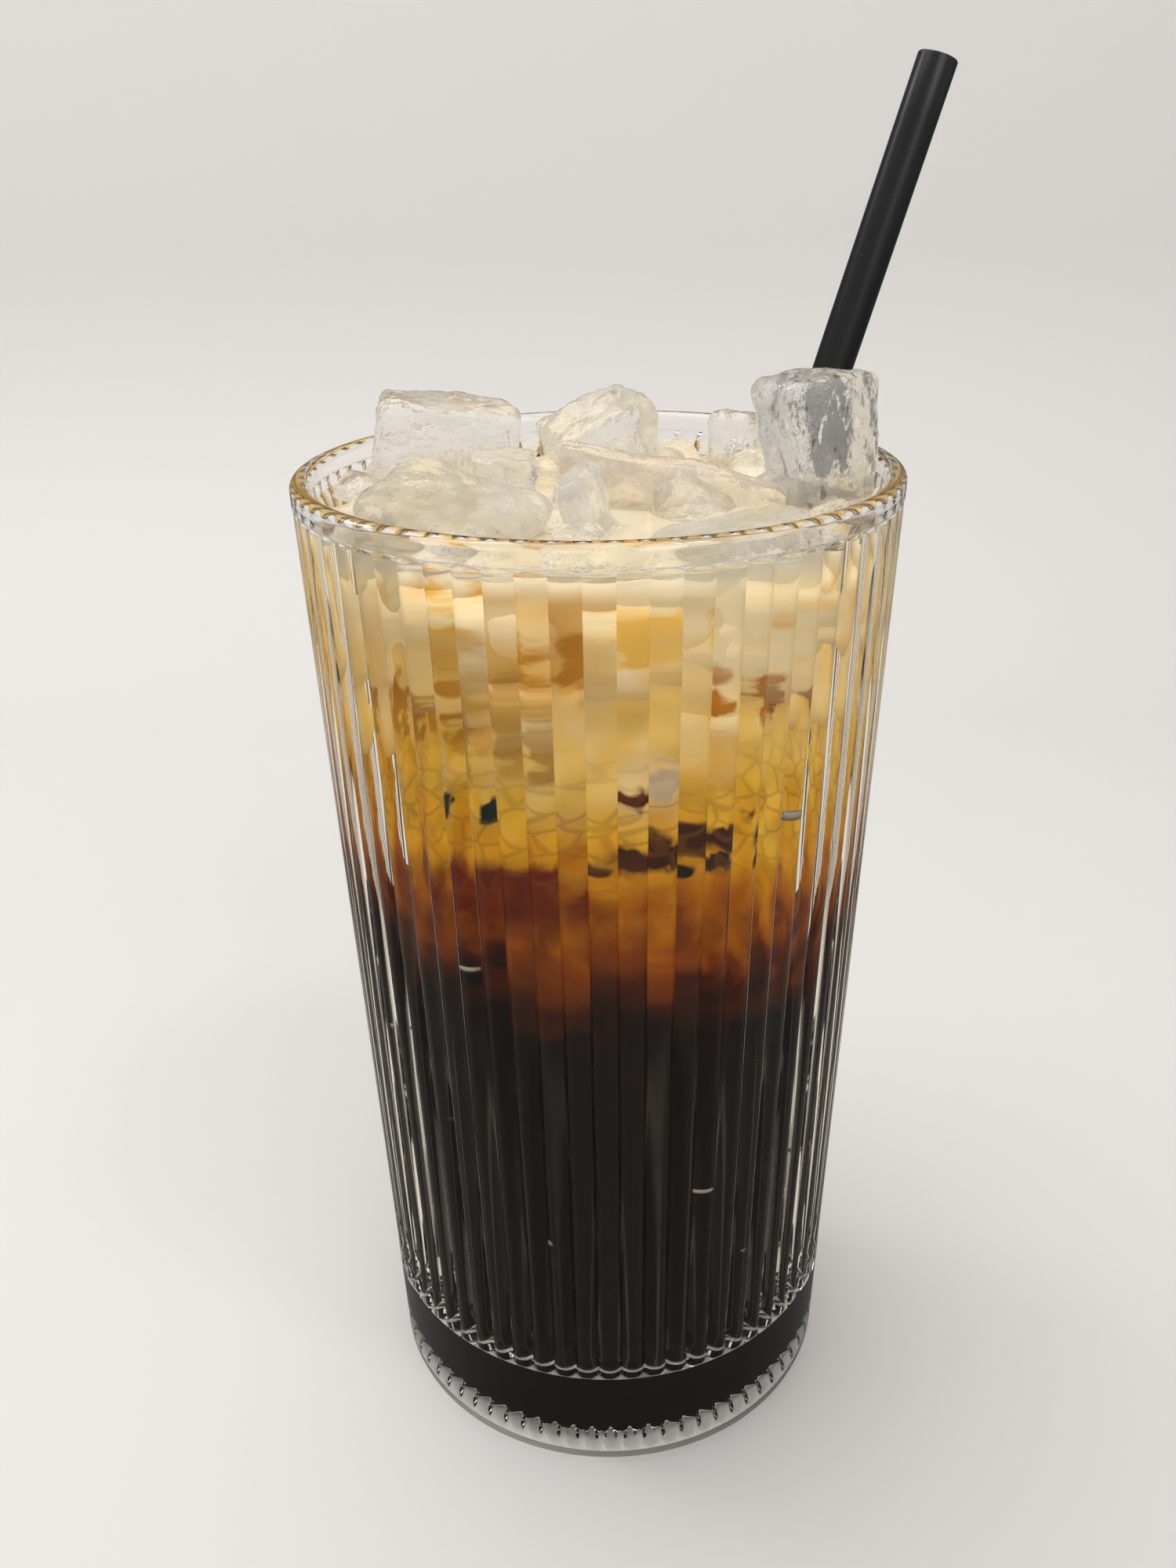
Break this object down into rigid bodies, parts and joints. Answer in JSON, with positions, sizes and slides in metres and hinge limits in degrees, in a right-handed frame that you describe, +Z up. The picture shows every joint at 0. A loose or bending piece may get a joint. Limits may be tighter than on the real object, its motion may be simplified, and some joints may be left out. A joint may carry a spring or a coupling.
{
  "type": "iced coffee",
  "caption": "Iced coffee in a tall ribbed glass with ice standing above the rim and a drinking straw: dark coffee below, amber and pale milky layers above.",
  "frame": {"origin": "centre of the foot ring, on the table under the axis of the glass", "axes": "+Z up along the axis of the glass; -Y is the front of the drink; the straw leans to +X and a little to +Y"},
  "size_m": [0.0911, 0.0822, 0.1999],
  "materials": {
    "glass": "clear ribbed pressed glass",
    "dark_coffee": "black coffee, still liquid",
    "amber_coffee": "coffee thinned with ice water and milk, still liquid",
    "milky_coffee": "pale milky coffee with ice, still liquid",
    "ice": "clear to cloudy ice, wet",
    "straw": "satin black plastic"
  },
  "bodies": {
    "root": {"glass": "glass", "dark_coffee": "dark_coffee", "amber_coffee": "amber_coffee", "milky_coffee": "milky_coffee", "ice_right": "ice", "ice_back_left": "ice", "ice_front_left": "ice", "ice_middle": "ice", "ice_slab": "ice", "ice_lean": "ice", "ice_back": "ice", "ice_mound": "ice", "ice_front_right": "ice", "straw": "straw"}
  },
  "joints": []
}
